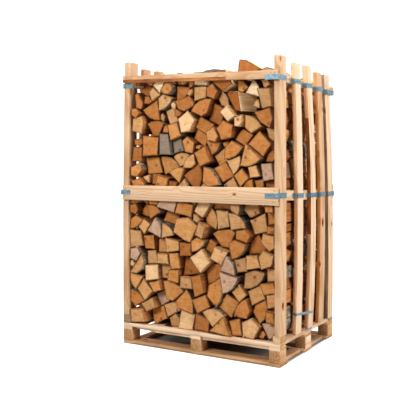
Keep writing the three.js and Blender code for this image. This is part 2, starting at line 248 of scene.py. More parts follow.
def makeLogEnd():
    p = logEndPattern
    material, tree, space, tone, shift = startBirch("sawnBirchEnd")
    speckle = addNode(tree, "TexNoise", {"Vector": space, "W": shift, "Scale": 1000 / p["speckle"],
                                         "Detail": 2.0}, noise_dimensions="4D")
    blotch = addNode(tree, "TexNoise", {"Vector": space, "W": shift, "Scale": 1000 / p["blotch"],
                                        "Detail": 3.0}, noise_dimensions="4D")
    rings = growthRings(tree, space, (1.0, 0.0, 1.0), blotch, p)
    base = addNode(tree, "ValToRGB", {"Fac": tone}, stops=p["tones"])
    deep = addNode(tree, "HueSaturation", {"Color": base, "Saturation": 1.2, "Value": 0.7})
    sawSpace = addNode(tree, "Mapping", {"Vector": space, "Rotation": [0.0, 0.6, 0.0], "Scale": [
        1000 / p["sawLength"], 1.0, 1000 / p["sawWidth"]]})
    sawMarks = addNode(tree, "TexNoise", {"Vector": sawSpace, "W": shift, "Scale": 1.0,
                                          "Detail": 2.0}, noise_dimensions="4D")
    soft = addNode(tree, "Math", {0: rings, 1: 0.07, 2: blotch}, operation="MULTIPLY_ADD")
    mark = addNode(tree, "Mix", {"Factor": 0.4, "A": soft, "B": sawMarks})
    stain = addNode(tree, "MapRange", {"Value": mark, "From Min": 0.42, "From Max": 0.66,
                                       "To Max": 0.8})
    stained = addNode(tree, "Mix", {"Factor": stain, "A": base, "B": deep}, data_type="RGBA")
    grit = addNode(tree, "MapRange", {"Value": speckle, "From Min": 0.3, "From Max": 0.7,
                                      "To Min": 0.9, "To Max": 1.08})
    knots = addNode(tree, "TexVoronoi", {"Vector": space, "Scale": 1000 / p["knotPitch"]},
                    out="Distance")
    spot = addNode(tree, "MapRange", {"Value": knots, "From Min": 0.06, "From Max": 0.2,
                                      "To Min": 0.85, "To Max": 0.0})
    knotted = addNode(tree, "Mix", {"Factor": spot, "A": stained, "B": hexToLinear(p["knot"])},
                      data_type="RGBA")
    # A ring round the end's edge is darkened: partly the log's darker outer wood, partly painted
    # shade where the end turns into the gaps between logs.
    edge = addNode(tree, "Attribute", out="Fac", attribute_name="rim")
    dim = addNode(tree, "MapRange", {"Value": edge, "From Min": 0.1, "From Max": 0.8,
                                     "To Min": 1.0, "To Max": 0.32})
    rimShaded = addNode(tree, "HueSaturation", {"Color": knotted, "Saturation": 1.02, "Value": dim})
    colour = addNode(tree, "HueSaturation", {"Color": rimShaded, "Value": grit})
    return finishMaterial(material, colour, 0.8, speckle, 0.6, p["relief"])


# Birch split along its fibres with a wedge: long silky strands in ridges, from cream in fresh
# splits to deep orange, and grey where it is old.
logSplitPattern = {
    "strandWidth": 6, "strandLength": 140,  # mm, twice as coarse as real so that they show
    "bands": [20.0, 4.0, 20.0],  # in a metre, across, along and up
    "relief": 1.6,  # mm
    "tones": [(0.0, "#96592B"), (0.3, "#B67840"), (0.6, "#CB9258"), (0.8, "#DDB27C"),
              (0.85, "#F0D8B2"), (0.9, "#F0D8B2"), (0.95, "#98704C"), (0.99, "#6E6457")],
    "hollows": [(0.0, "#4A2811"), (0.3, "#64391A"), (0.6, "#774B26"), (0.8, "#8F5F34"),
                (0.85, "#C58F56"), (0.9, "#C58F56"), (0.95, "#5F452E"), (0.99, "#484037")],
}


def makeLogSplit():
    p = logSplitPattern
    material, tree, space, tone, shift = startBirch("splitBirch")
    stretched = addNode(tree, "Mapping", {"Vector": space, "Scale": [
        1000 / p["strandWidth"], 1000 / p["strandLength"], 1000 / p["strandWidth"]]})
    strands = addNode(tree, "TexNoise", {"Vector": stretched, "W": shift, "Scale": 1.0,
                                         "Detail": 3.0}, noise_dimensions="4D")
    wide = addNode(tree, "Mapping", {"Vector": space, "Scale": p["bands"]})
    bands = addNode(tree, "TexNoise", {"Vector": wide, "W": shift, "Scale": 1.0, "Detail": 2.0},
                    noise_dimensions="4D")
    base = addNode(tree, "ValToRGB", {"Fac": tone}, stops=p["tones"])
    deep = addNode(tree, "ValToRGB", {"Fac": tone}, stops=p["hollows"])
    mixed = addNode(tree, "Math", {0: strands, 1: bands}, operation="ADD")
    shade = addNode(tree, "MapRange", {"Value": mixed, "From Min": 0.8, "From Max": 1.3,
                                       "To Max": 0.9})
    colour = addNode(tree, "Mix", {"Factor": shade, "A": base, "B": deep}, data_type="RGBA")
    return finishMaterial(material, colour, 0.7, strands, 0.8, p["relief"])


# Dry bark of a young tree: grey-brown and cracked, with paler scales.
barkPattern = {"scale": 22, "crack": 9, "relief": 2.5}  # mm


def makeBark():
    p = barkPattern
    material, tree, space, tone, shift = startBirch("birchBark")
    stretched = addNode(tree, "Mapping", {"Vector": space, "Scale": [
        1000 / p["scale"], 400 / p["scale"], 1000 / p["scale"]]})
    scales = addNode(tree, "TexNoise", {"Vector": stretched, "W": shift, "Scale": 1.0,
                                        "Detail": 5.0, "Roughness": 0.6}, noise_dimensions="4D")
    cracks = addNode(tree, "TexVoronoi", {"Vector": stretched, "Scale": p["scale"] / p["crack"]},
                     out="Distance", feature="DISTANCE_TO_EDGE")
    plate = addNode(tree, "ValToRGB", {"Fac": scales}, stops=[
        (0.3, "#463B32"), (0.45, "#75675A"), (0.56, "#9A8C7B"), (0.7, "#BDB1A1")])
    shaded = addNode(tree, "MapRange", {"Value": cracks, "From Max": 0.12, "To Min": 0.55})
    colour = addNode(tree, "HueSaturation", {"Color": plate, "Value": shaded})
    return finishMaterial(material, colour, 0.9, scales, 0.9, p["relief"])


# Hot-dip galvanised sheet steel, dulled by weather: bluish grey with a faint mottle of spangle.
zincPattern = {"spangle": 9}  # mm


def makeGalvanised():
    material, tree, space = startMaterial("galvanisedSteel")
    spangle = addNode(tree, "TexVoronoi", {"Vector": space, "Scale": 1000 / zincPattern["spangle"]},
                      out="Color")
    light = addNode(tree, "SeparateColor", {"Color": spangle}, out="Green")
    colour = addNode(tree, "ValToRGB", {"Fac": light}, stops=[
        (0.0, "#637F8E"), (0.5, "#7893A1"), (1.0, "#93AAB5")])
    rough = addNode(tree, "MapRange", {"Value": light, "To Min": 0.38, "To Max": 0.55})
    return finishMaterial(material, colour, rough, metallic=0.3)


# Bright wire nails: drawn steel, cut heads, slightly tarnished.
def makeNailSteel():
    material, tree, space = startMaterial("wireNailSteel")
    tarnish = addNode(tree, "TexNoise", {"Vector": space, "Scale": 300.0})
    colour = addNode(tree, "ValToRGB", {"Fac": tarnish}, stops=[
        (0.3, "#4A3A2E"), (0.7, "#8B8580")])
    return finishMaterial(material, colour, 0.45, metallic=0.9)


# The edge that the saw left round: the tree's own surface under the bark, smooth and orange.
waneyPattern = {"patch": 60, "stretch": 0.25, "relief": 1.0}  # mm, and how long patches are drawn


def makeWaneyEdge():
    p = waneyPattern
    material, tree, space = startMaterial("waneyPineEdge", "grainSpace")
    stretched = addNode(tree, "Mapping", {"Vector": space, "Scale": [p["stretch"], 1.0, 1.0]})
    patches = addNode(tree, "TexNoise", {"Vector": stretched, "Scale": 1000 / p["patch"],
                                         "Detail": 4.0})
    colour = addNode(tree, "ValToRGB", {"Fac": patches}, stops=[
        (0.35, "#5B3216"), (0.5, "#9A5A26"), (0.65, "#BE8144")])
    return finishMaterial(material, colour, 0.7, patches, 0.6, p["relief"])


sawnSides = {name: makeSawnPine(name, look) for name, look in sawnLooks.items()}
sawnEnds = {name: makeSawnEnd(name + "End", look) for name, look in sawnLooks.items()}
waneyEdge = makeWaneyEdge()
logMaterials = [makeLogEnd(), makeLogSplit(), makeBark()]
galvanised = makeGalvanised()
nailSteel = makeNailSteel()
print("materials made")


smoothUpTo = 32  # degrees between two faces


# Makes the mesh an object at the origin, on the crate's one body, in place of its CAD nodes.
def finishPiece(bm, name, pieceMaterials, replaced=()):
    for face in bm.faces:
        face.smooth = True
    for edge in bm.edges:
        angle = math.degrees(edge.calc_face_angle(0.0))
        edge.smooth = len(edge.link_faces) == 2 and angle < smoothUpTo
    mesh = bpy.data.meshes.new(name)
    bm.to_mesh(mesh)
    bm.free()
    for material in pieceMaterials:
        mesh.materials.append(material)
    piece = bpy.data.objects.new(name, mesh)
    scene.collection.objects.link(piece)
    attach(piece, "root")
    if replaced:
        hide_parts(*replaced)
    return piece


# Sawn timber: each CAD board, post and rail again, with worn edges and a saw's slight waver.
timber = {
    "step": 70,  # mm between cuts along the grain
    "sharp": 40,  # degrees, an edge that gets worn
    "worn": 1.3,  # mm taken off the edges
    "waver": 0.7, "waverPitch": 9,  # mm, and waves in a metre
    "heart": 75,  # mm, how far from the heart of the tree a board is cut at most
    "seed": 11,
    "waney": ("rail_top_front", 17, 190),  # mm, how round its lower edge is, and up to where
    "darkEdged": {  # posts whose front and back sides take a darker finish: painted shade on the second, third and fourth posts, old weathered wood on the back one
        "second": "sawnPineShadedSide", "third": "sawnPineShadedSide", "fourth": "sawnPineShadedSide",
        "back": "sawnOldPine"},
    "barked": ("post_third_right", 770, 1540),  # mm, from where to where its front side is waney
    "tones": {"post_front_left": 0.3, "post_front_right": 0.35, "rail_top_front": 0.15,
              "rail_mid_front": 0.6, "post_second_right": 0.95, "post_third_right": 0.75},
}
timberKinds = {  # by how the node's name starts: finish, slot and the axis of the grain
    "block_": ("sawnBlockPine", "block_pine", 1),
    "bottom_board": ("sawnPalletPine", "pallet_pine", 0),
    "bottom_strip": ("sawnPalletPine", "pallet_pine", 1),
    "stringer": ("sawnPalletPine", "pallet_pine", 0),
    "lead_board": ("sawnPalePine", "pale_pine", 0),
    "deck_board": ("sawnPalePine", "pale_pine", 1),
    "post_foot_front_left": ("sawnOldPine", "block_pine", 0),
    "post_foot": ("sawnBlockPine", "block_pine", 0),
    "post_": ("sawnPalePine", "pale_pine", 2),
    "rail_mid_left": ("sawnPalePine", "pale_pine", 1),
    "rail_mid_right": ("sawnPalePine", "pale_pine", 1),
    "rail_top_left": ("sawnPalePine", "pale_pine", 1),
    "rail_top_right": ("sawnPalePine", "pale_pine", 1),
    "rail_": ("sawnPalePine", "pale_pine", 0),
}
boardSide, boardEnd, darkSide, waneySide = range(4)  # the order of a board's materials


def makeTimber(node, draw):
    finish, slot, axis = next(v for k, v in timberKinds.items() if node.startswith(k))
    low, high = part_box(node)
    along = Vector([1.0 if i == axis else 0.0 for i in range(3)])
    bm = bmesh.new()
    bm.from_mesh(frame["nodes"][node].data)
    bmesh.ops.remove_doubles(bm, verts=bm.verts, dist=0.05 * mm)  # CAD nodes are loose triangles
    bmesh.ops.dissolve_limit(bm, angle_limit=math.radians(0.08), verts=bm.verts, edges=bm.edges)
    sharp = [e for e in bm.edges if e.calc_face_angle(0.0) > math.radians(timber["sharp"])]
    bmesh.ops.bevel(bm, geom=sharp, offset=timber["worn"] * mm, segments=1, profile=0.5,
                    affect="EDGES", material=-1, clamp_overlap=True)
    waneyNode, waneyDepth, waneyEnd = timber["waney"]
    if node == waneyNode:
        bm.normal_update()
        faces = [f for f in bm.faces if f.normal.y < -0.9 and f.calc_area() > 0.01]
        lower = [e for f in faces for e in f.edges if abs((e.verts[0].co - e.verts[1].co).x) > 0.5
                 and (e.verts[0].co + e.verts[1].co).z / 2 < f.calc_center_median().z]
        bmesh.ops.bevel(bm, geom=lower, offset=waneyDepth * mm, segments=2, profile=0.5,
                        affect="EDGES", material=waneySide)
    cuts = int((high[axis] - low[axis]) / (timber["step"] * mm))
    for i in range(1, cuts):
        at = low + along * (high[axis] - low[axis]) * i / cuts
        bmesh.ops.bisect_plane(bm, geom=bm.verts[:] + bm.edges[:] + bm.faces[:],
                               plane_co=at, plane_no=along, dist=0.02 * mm)
    shift = Vector([draw.uniform(-50, 50) for i in range(3)])
    for v in bm.verts:
        spot = v.co * timber["waverPitch"] + shift
        v.co += noise.noise_vector(spot) * timber["waver"] * mm
    heart = [draw.uniform(-50, 50)] + [draw.uniform(-1, 1) * timber["heart"] * mm for i in range(2)]
    order = [axis, (axis + 1) % 3, (axis + 2) % 3]
    middle = (low + high) / 2
    grainSpace = bm.verts.layers.float_vector.new("grainSpace")
    toneLayer = bm.verts.layers.float.new("tone")
    tone = timber["tones"].get(node, draw.random())
    for v in bm.verts:
        v[grainSpace] = [v.co[order[i]] - middle[order[i]] + heart[i] for i in range(3)]
        v[toneLayer] = tone
    bm.normal_update()
    edgeLook = timber["darkEdged"].get(node.split("_")[1]) if node.startswith("post_") else None
    barkedNode, barkedFrom, barkedTo = timber["barked"]
    for face in bm.faces:
        x, y, z = face.calc_center_median() / mm
        if face.material_index != waneySide or x > waneyEnd:
            face.material_index = boardEnd if abs(face.normal[axis]) > 0.75 else boardSide
        # the front and back faces of these posts take the darker finish: painted shade on the
        # middle posts, old wood on the back posts
        if edgeLook and abs(face.normal.y) > 0.75:
            barked = node == barkedNode and face.normal.y < 0 and barkedFrom < z < barkedTo
            face.material_index = waneySide if barked else darkSide
    looks = [sawnSides[finish], sawnEnds[finish], sawnSides[edgeLook or "sawnPineShadedSide"], waneyEdge]
    return finishPiece(bm, "sawn_" + node, looks, [node])


noise.seed_set(timber["seed"])
draw = random.Random(timber["seed"])
timberNodes = [n for n in sorted(frame["nodes"]) if any(n.startswith(k) for k in timberKinds)]
for node in timberNodes:
    makeTimber(node, draw)
print("timber made:", len(timberNodes), "pieces")


# Firewood: three rows of split logs. Each row starts as loose outlines of log ends that grow,
# push each other apart and settle under their weight until they fill the row's outline. Small
# split pieces then go into the holes that are left.
logShapes = {  # share of each, and how wide its bark arc opens in radians, where it has one
    "quarter": (0.12, (1.1, 1.6)), "shorn": (0.18, (1.0, 1.5)), "slab": (0.03, (2.2, 2.8)),
    "square": (0.52, None), "triangle": (0.03, None), "five": (0.12, None),
}
packing = {
    "logs": 158,
    "heavy": 0.2,  # how much larger the lowest logs are than the highest ones
    "fill": 1.0,  # of the row's outline, before the logs take their own size
    "sizes": (0.8, 1.22),
    "rounds": 520,
    "gap": 2.5,  # mm, kept between two logs
    "weight": 0.1, "spread": 0.4,  # mm, how far a log sinks or slides outwards in a round
    "loose": 3.3,  # mm, taken off each log at the end, round its edge
    "give": 0.45, "wallGive": 0.7,  # shares of an overlap that a round takes away
    "stiff": 0.35,  # how hard a log is to turn
    "half": 545,  # mm, half the stack's width at least
    "railHalf": 523, "railFrom": 1725,  # mm, the same between the top side rails, from there up
    "corners": 8,
    "barkUp": (0.8, 0.8),  # radians, how bark lies mostly: upwards and to the right
    "start": 0.62,  # of a log's size, in the first round
    "shrink": 0.0022, "grow": 0.0015, "largest": 1.2,  # in a round, and the most a log grows
    "smallest": 20, "filled": 0.86,  # mm, radius of a hole that gets a small log, and its share
}


def logOutline(draw):
    names = list(logShapes)
    kind = draw.choices(names, [logShapes[n][0] for n in names])[0]
    opening = logShapes[kind][1]
    barkSides = 0
    if opening:
        angle = draw.uniform(*opening)
        turns = [angle * (i / 4 - 0.5) for i in range(5)]
        points = [(math.cos(t), math.sin(t)) for t in turns]
        barkSides = 4
        if kind == "quarter":
            points.append((0.0, 0.0))
        if kind == "shorn":
            inner = [draw.uniform(0.25, 0.45) for i in range(2)]
            points.append((inner[0] * math.cos(angle / 2), inner[0] * math.sin(angle / 2)))
            points.append((inner[1] * math.cos(angle / 2), -inner[1] * math.sin(angle / 2)))
    else:
        count = {"triangle": 3, "square": 4, "five": 5}[kind]
        stretch = draw.uniform(1.0, 1.4 if kind == "square" else 1.2)
        points = []
        for i in range(count):
            turn = 2 * math.pi * i / count + draw.uniform(-0.2, 0.2) + math.pi / 4
            arm = draw.uniform(0.88, 1.12)
            points.append((arm * math.cos(turn) * stretch, arm * math.sin(turn)))
    points = np.array(points)
    ahead = np.roll(points, -1, axis=0)
    cross = points[:, 0] * ahead[:, 1] - ahead[:, 0] * points[:, 1]
    centre = ((points + ahead) * cross[:, None]).sum(0) / (3 * cross.sum())
    size = draw.uniform(*packing["sizes"])
    return (points - centre) / math.sqrt(cross.sum() / 2) * size, barkSides


def reach(obj, start, direction, axis):
    hit, place = obj.ray_cast(Vector(start), Vector(direction))[:2]
    return place[axis] if hit else 0.0


def rowOutline(node):  # the crest over the row's width, and half its width over its height, in mm
    obj = frame["nodes"][node]
    low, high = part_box(node)
    y = (low.y + high.y) / 2
    acrossRow = np.linspace(low.x + mm, high.x - mm, 60)
    upRow = np.linspace(low.z + mm, high.z - mm, 90)
    crest = np.array([reach(obj, (x, y, 3.0), (0, 0, -1), 2) for x in acrossRow])
    sides = np.array([reach(obj, (2.0, y, z), (-1, 0, 0), 0) for z in upRow])
    free = np.where(upRow > packing["railFrom"] * mm, packing["railHalf"], packing["half"]) * mm
    sides = np.maximum(sides, free)
    return acrossRow / mm, crest / mm, upRow / mm, sides / mm, low.z / mm


# How deep the second of two logs reaches into the first, through which side, and where.
def deepest(first, second, corners, normals, offsets, solid):
    reachIn = np.einsum("pkd,pld->pkl", normals[first], corners[second])
    overlap = np.where(solid[first], offsets[first] - reachIn.min(2), 1e9)
    side = overlap.argmin(1)
    rows = np.arange(len(first))
    near = reachIn[rows, side]
    weight = np.exp((near.min(1, keepdims=True) - near) / 2.0)
    touch = (corners[second] * weight[..., None]).sum(1) / weight.sum(1)[:, None]
    return overlap[rows, side], normals[first][rows, side], touch


def sideNormals(outlines):  # which way each side faces, and whether it is longer than a point
    edges = np.roll(outlines, -1, axis=1) - outlines
    lengths = np.linalg.norm(edges, axis=2)
    normals = np.stack([edges[..., 1], -edges[..., 0]], 2) / np.maximum(lengths, 1e-9)[..., None]
    return normals, lengths > 1e-3


def roomAt(points, outlines):  # how far each point is from the nearest of some outlines
    room = np.full(len(points), 1e9)
    for outline, normal, solid in zip(outlines, *sideNormals(outlines)):
        away = ((points[:, None] - outline[solid]) * normal[solid]).sum(2).max(1)
        room = np.minimum(room, away)
    return room


# Small five-cornered logs for the widest holes, one after another.
def fillHoles(outlines, across, crest, up, sides, floorLevel, draw):
    step = packing["smallest"] / 2
    spots = np.stack(np.meshgrid(np.arange(-across[-1], across[-1], step),
                                 np.arange(floorLevel, crest.max(), step)), 2).reshape(-1, 2)

    def clear(points):
        x, z = points.T
        return np.minimum.reduce([roomAt(points, outlines), np.interp(z, up, sides) - abs(x),
                                  z - floorLevel, np.interp(x, across, crest) - z])
    room = clear(spots)
    small = []
    while room.max() > packing["smallest"]:
        middle, radius = spots[room.argmax()], room.max()
        turns = np.array([(i + draw.uniform(-0.3, 0.3)) * math.pi * 0.4 for i in range(5)])
        ways = np.stack([np.cos(turns), np.sin(turns)], 1)
        arms = radius + np.clip(clear(middle + ways * radius), 0, radius)
        small.append((middle + ways * arms[:, None] * packing["filled"]) * mm)
        room = np.minimum(room, np.linalg.norm(spots - middle, axis=1) - arms.mean())
    return [(outline, 0) for outline in small]


def startOutlines(unit, draw, held):  # round their own middles, and as arrays of corners in mm
    outlines = []
    for log in held:
        points = np.array(log["room"], float)
        outlines.append(((points - points.mean(0)) / unit, log["bark"]))
    outlines += [logOutline(draw) for i in range(packing["logs"] - len(held))]
    local = np.zeros((packing["logs"], packing["corners"], 2))
    for row, (points, barkSides) in zip(local, outlines):
        row[:len(points)] = points * unit
        row[len(points):] = points[-1] * unit
    return outlines, local


def startPlaces(unit, across, crest, floorLevel, draw, held):
    places = [tuple(np.mean(log["room"], axis=0)) for log in held]
    space = 0.8 * unit
    while len(places) < packing["logs"]:
        x = draw.uniform(across[0], across[-1]) * 0.95
        z = draw.uniform(floorLevel + 30, np.interp(x, across, crest) - 30)
        if all((x - a) ** 2 + (z - b) ** 2 > space ** 2 for a, b in places):
            places.append((x, z))
        space *= 0.99995
    return np.array(places)


# Outlines of a row's logs in metres, each with its number of bark sides; the held ones come first.
def settle(node, draw, held):
    across, crest, up, sides, floorLevel = rowOutline(node)
    count = packing["logs"]
    area = np.sum((crest[:-1] + crest[1:]) / 2 - floorLevel) * (across[1] - across[0])
    unit = math.sqrt(packing["fill"] * area / count)
    outlines, local = startOutlines(unit, draw, held)
    places = startPlaces(unit, across, crest, floorLevel, draw, held)
    free = (np.arange(count) >= len(held)).astype(float)
    rise = (places[:, 1] - floorLevel) / (crest.max() - floorLevel)
    local[len(held):] *= (1 + packing["heavy"] * (0.5 - rise[len(held):]))[:, None, None]
    radius = np.linalg.norm(local, axis=2).max(1)
    turns = np.array([draw.gauss(*packing["barkUp"]) if barkSides > 1 else
                      draw.uniform(0, 2 * math.pi) for points, barkSides in outlines]) * free
    own = np.ones(count)  # each log's own size
    everyLog = np.arange(count)
    half = packing["rounds"] / 2
    for turnRound in range(packing["rounds"]):
        size = own * min(1.0, packing["start"] + (1 - packing["start"]) * turnRound / half)
        spin = np.stack([np.cos(turns), -np.sin(turns), np.sin(turns), np.cos(turns)], 1)
        corners = places[:, None] + np.einsum(
            "nij,nkj->nki", spin.reshape(-1, 2, 2), local) * size[:, None, None]
        if turnRound % 6 == 0:  # which logs can touch in the next rounds
            apart = np.linalg.norm(places[:, None] - places[None], axis=2)
            close = (radius * size)[:, None] + (radius * size)[None] + 6
            one, two = np.where(np.triu(apart < close, 1))
        normals, solid = sideNormals(corners)
        offsets = (corners * normals).sum(2)
        overA, normalA, touchA = deepest(one, two, corners, normals, offsets, solid)
        overB, normalB, touchB = deepest(two, one, corners, normals, offsets, solid)
        pick = overA <= overB
        over = np.where(pick, overA, overB) + packing["gap"]
        normal = np.where(pick[:, None], normalA, -normalB)
        touch = np.where(pick[:, None], touchA, touchB)
        hit = over > 0
        i, j, over, normal, touch = one[hit], two[hit], over[hit], normal[hit], touch[hit]
        ease = 1 / (packing["stiff"] * (radius * size) ** 2)
        armI = np.cross(touch - places[i], normal)
        armJ = np.cross(touch - places[j], normal)
        yieldI, yieldJ = free[i] * (1 + ease[i] * armI ** 2), free[j] * (1 + ease[j] * armJ ** 2)
        push = packing["give"] * over / np.maximum(yieldI + yieldJ, 1)
        shift = np.zeros((count, 2))
        twist = np.zeros(count)
        for log, way, arm in ((i, -push, armI), (j, push, armJ)):
            np.add.at(shift, log, way[:, None] * normal)
            np.add.at(twist, log, way * ease[log] * arm)
        shift[:, 0] += packing["spread"] * (places[:, 0] / across[-1]) ** 3
        shift[:, 1] -= packing["weight"] * max(0, 1 - turnRound / (packing["rounds"] * 0.9))
        x, z = corners[..., 0], corners[..., 1]
        wall = np.interp(z, up, sides)
        for inward, depth in (((1, 0), -x - wall), ((-1, 0), x - wall),
                              ((0, 1), floorLevel - z), ((0, -1), z - np.interp(x, across, crest))):
            worst = depth.argmax(1)
            depth = np.maximum(depth[everyLog, worst], 0)
            inward = np.array(inward, float)
            arm = np.cross(corners[everyLog, worst] - places, inward)
            back = packing["wallGive"] * depth / (1 + ease * arm ** 2)
            shift += back[:, None] * inward
            twist += back * ease * arm
        places = places + shift * free[:, None]
        turns = turns + twist * free
        if turnRound > half:  # logs under pressure shrink, and loose ones grow
            tight = np.zeros(count)
            np.maximum.at(tight, i, over)
            np.maximum.at(tight, j, over)
            less = own - packing["shrink"] * np.minimum(tight / 4, 2)
            more = np.minimum(own + packing["grow"], packing["largest"])
            own = np.where(tight > packing["gap"] + 1, less,
                           np.where(tight < packing["gap"], more, own))
            own[free == 0] = 1.0
    loose = 1 - packing["loose"] / radius
    corners = places[:, None] + (corners - places[:, None]) * loose[:, None, None]
    small = fillHoles(corners, across, crest, up, sides, floorLevel, draw)
    return [(row[:len(points)] * mm, barkSides)
            for row, (points, barkSides) in zip(corners, outlines)] + small


logs = {
    "stagger": 70, "rarely": 1.4,  # mm that an end stands back at most, and how rare that is
    "endTilt": 0.06,
    "turn": 0.9,  # degrees, how far a log lies out of line
    "taper": 0.05,
    "ridge": 2.6, "ridgesAcross": 45, "ridgesAlong": 5,  # mm of relief, and ridges in a metre
    "sideStep": 26,  # mm, between points round a log
    "lengthCuts": 5,
    "rim": 9,  # mm, a ring round a sawn end painted darker: partly the log's darker outer wood, partly painted shade
    "barkShare": 0.2,  # of the logs without an arc, that have one side of bark
}
logEnd, splitSide, barkSide = range(3)  # the order of a log's materials


def makeLog(outline, barkSides, front, back, draw, tone, swing=0):
    bm = bmesh.new()
    bark = bm.edges.layers.int.new("bark")
    rim = bm.verts.layers.float.new("rim")
    toneLayer = bm.verts.layers.float.new("tone")
    logSpace = bm.verts.layers.float_vector.new("logSpace")
    near = bm.faces.new([bm.verts.new((x, 0, z)) for x, z in outline])
    sides = near.edges[:]
    if not barkSides and draw.random() < logs["barkShare"]:
        barkSides = 1
    for side in sides[:barkSides]:
        side[bark] = 1
    centre = near.calc_center_median()
    if barkSides > 1:  # the heart lies opposite the middle of the arc
        pith = (sides[0].verts[0].co + sides[barkSides - 1].verts[0].co) / 2
        pith = pith + (centre - pith) * 2.2
    else:
        pith = centre + Vector((draw.uniform(-1, 1), 0, draw.uniform(-1, 1))) * 0.07
    for side in sides:
        cuts = int(side.calc_length() / (logs["sideStep"] * mm))
        if cuts:
            bmesh.ops.subdivide_edges(bm, edges=[side], cuts=cuts)
    length = back - front
    moved = bmesh.ops.extrude_face_region(bm, geom=bm.faces[:])["geom"]
    far = [g for g in moved if isinstance(g, bmesh.types.BMVert)]
    bmesh.ops.translate(bm, vec=(0, length, 0), verts=far)
    for face in bm.faces:
        if abs(face.calc_center_median().y - length / 2) < length * 0.1:
            face.material_index = barkSide if any(e[bark] for e in face.edges) else splitSide
    spans = [e for e in bm.edges if abs(e.verts[0].co.y - e.verts[1].co.y) > length / 2]
    bmesh.ops.subdivide_edges(bm, edges=spans, cuts=logs["lengthCuts"], use_grid_fill=True)
    bmesh.ops.recalc_face_normals(bm, faces=bm.faces)
    ends = [f for f in bm.faces if abs(f.normal.y) > 0.9]
    bmesh.ops.inset_individual(bm, faces=ends, thickness=logs["rim"] * mm, depth=0.5 * mm)
    bmesh.ops.poke(bm, faces=[f for f in bm.faces if len(f.verts) > 4])
    shift = Vector([draw.uniform(-50, 50) for i in range(3)])
    tilts = [Vector((draw.gauss(0, 1), draw.gauss(0, 1))) * logs["endTilt"] for i in range(2)]
    taper = draw.uniform(-1, 1) * logs["taper"]
    ridges = Vector((logs["ridgesAcross"], logs["ridgesAlong"], logs["ridgesAcross"]))
    for v in bm.verts:
        v[logSpace] = v.co - pith + Vector((0, shift.y, 0))
        v[toneLayer] = tone
        # the end's outer ring, darkened in the end's material: partly outer wood, partly painted
        # shade
        v[rim] = float(any(f.material_index != logEnd for f in v.link_faces))
        off = v.co - centre
        off.y = 0
        away = off.normalized() if off.length > 1e-6 else Vector()
        t = v.co.y / length
        relief = noise.noise(v.co * ridges + shift)
        v.co += away * relief * logs["ridge"] * mm + off * taper * (t - 0.5)
        for share, tilt in ((max(0, 1 - 3 * t), tilts[0]), (max(0, 3 * t - 2), tilts[1])):
            v.co.y += share * (off.x * tilt.x + off.z * tilt.y)
    turn = Matrix.Rotation(math.radians(draw.uniform(-1, 1) * logs["turn"]), 4, "Z") @ \
        Matrix.Rotation(math.radians(draw.uniform(-1, 1) * logs["turn"]), 4, "X")
    pivot = centre + Vector((0, length / 2, 0))
    bmesh.ops.rotate(bm, verts=bm.verts, cent=pivot, matrix=turn)
    bmesh.ops.rotate(bm, verts=bm.verts, cent=(outline[:, 0].max(), 0, 0),
                     matrix=Matrix.Rotation(math.radians(-swing), 4, "Z"))
    bmesh.ops.translate(bm, verts=bm.verts, vec=(0, front, 0))
    return bm


def addTo(rowMesh, bm):
    scratch = bpy.data.meshes.new("log")
    bm.to_mesh(scratch)
    bm.free()
    rowMesh.from_mesh(scratch)
    bpy.data.meshes.remove(scratch)


heldLogs = [  # logs that keep their place in the front row: outlines in mm, across and up
    {"room": [(-265, 1728), (-235, 1722), (-208, 1740), (-198, 1765), (-212, 1795), (-240, 1812),
              (-275, 1778), (-290, 1750)], "bark": 5, "tone": 0.3, "back": 0},
    {"room": [(-190, 1680), (-160, 1625), (-115, 1605), (-45, 1640), (-40, 1665), (-80, 1715),
              (-125, 1697)], "bark": 0, "tone": 0.02, "back": 20},
    {"room": [(-5, 850), (-75, 905), (-165, 895), (-190, 800), (-105, 750), (-60, 735)],
     "bark": 1, "tone": 0.4, "back": 5},
    {"room": [(185, 1710), (255, 1600), (390, 1592), (430, 1680), (300, 1715), (205, 1732)],
     "log": [(185, 1710), (255, 1600), (310, 1595), (300, 1712), (205, 1732)],
     "bark": 0, "tone": 0.85, "back": 5, "swing": 27, "length": 150},
    {"room": [(170, 1590), (225, 1530), (280, 1565), (220, 1635)], "bark": 0, "tone": 0.8,
     "back": 0},
    {"room": [(-510, 1735), (-500, 1645), (-455, 1635), (-440, 1680), (-485, 1750)],
     "bark": 0, "tone": 0.1, "back": 10},
    {"room": [(-385, 1745), (-360, 1685), (-290, 1725), (-355, 1780)], "bark": 0, "tone": 0.6,
     "back": 0},
]
topLogs = {"from": 1.7, "cream": 0.08, "fresh": 0.18}  # metres up, and shares of pale split wood
greyLogs = [(-0.3, 1.43), (-0.2, 1.375)]  # metres, across and up: old wood in the front row
tones = {"cream": 0.9, "fresh": 0.85, "dull": 0.95, "old": 0.99}  # where the log ramps have them
usualTones, dullShare = 0.8, 0.03  # the rest of the ramps, and the share of dull logs


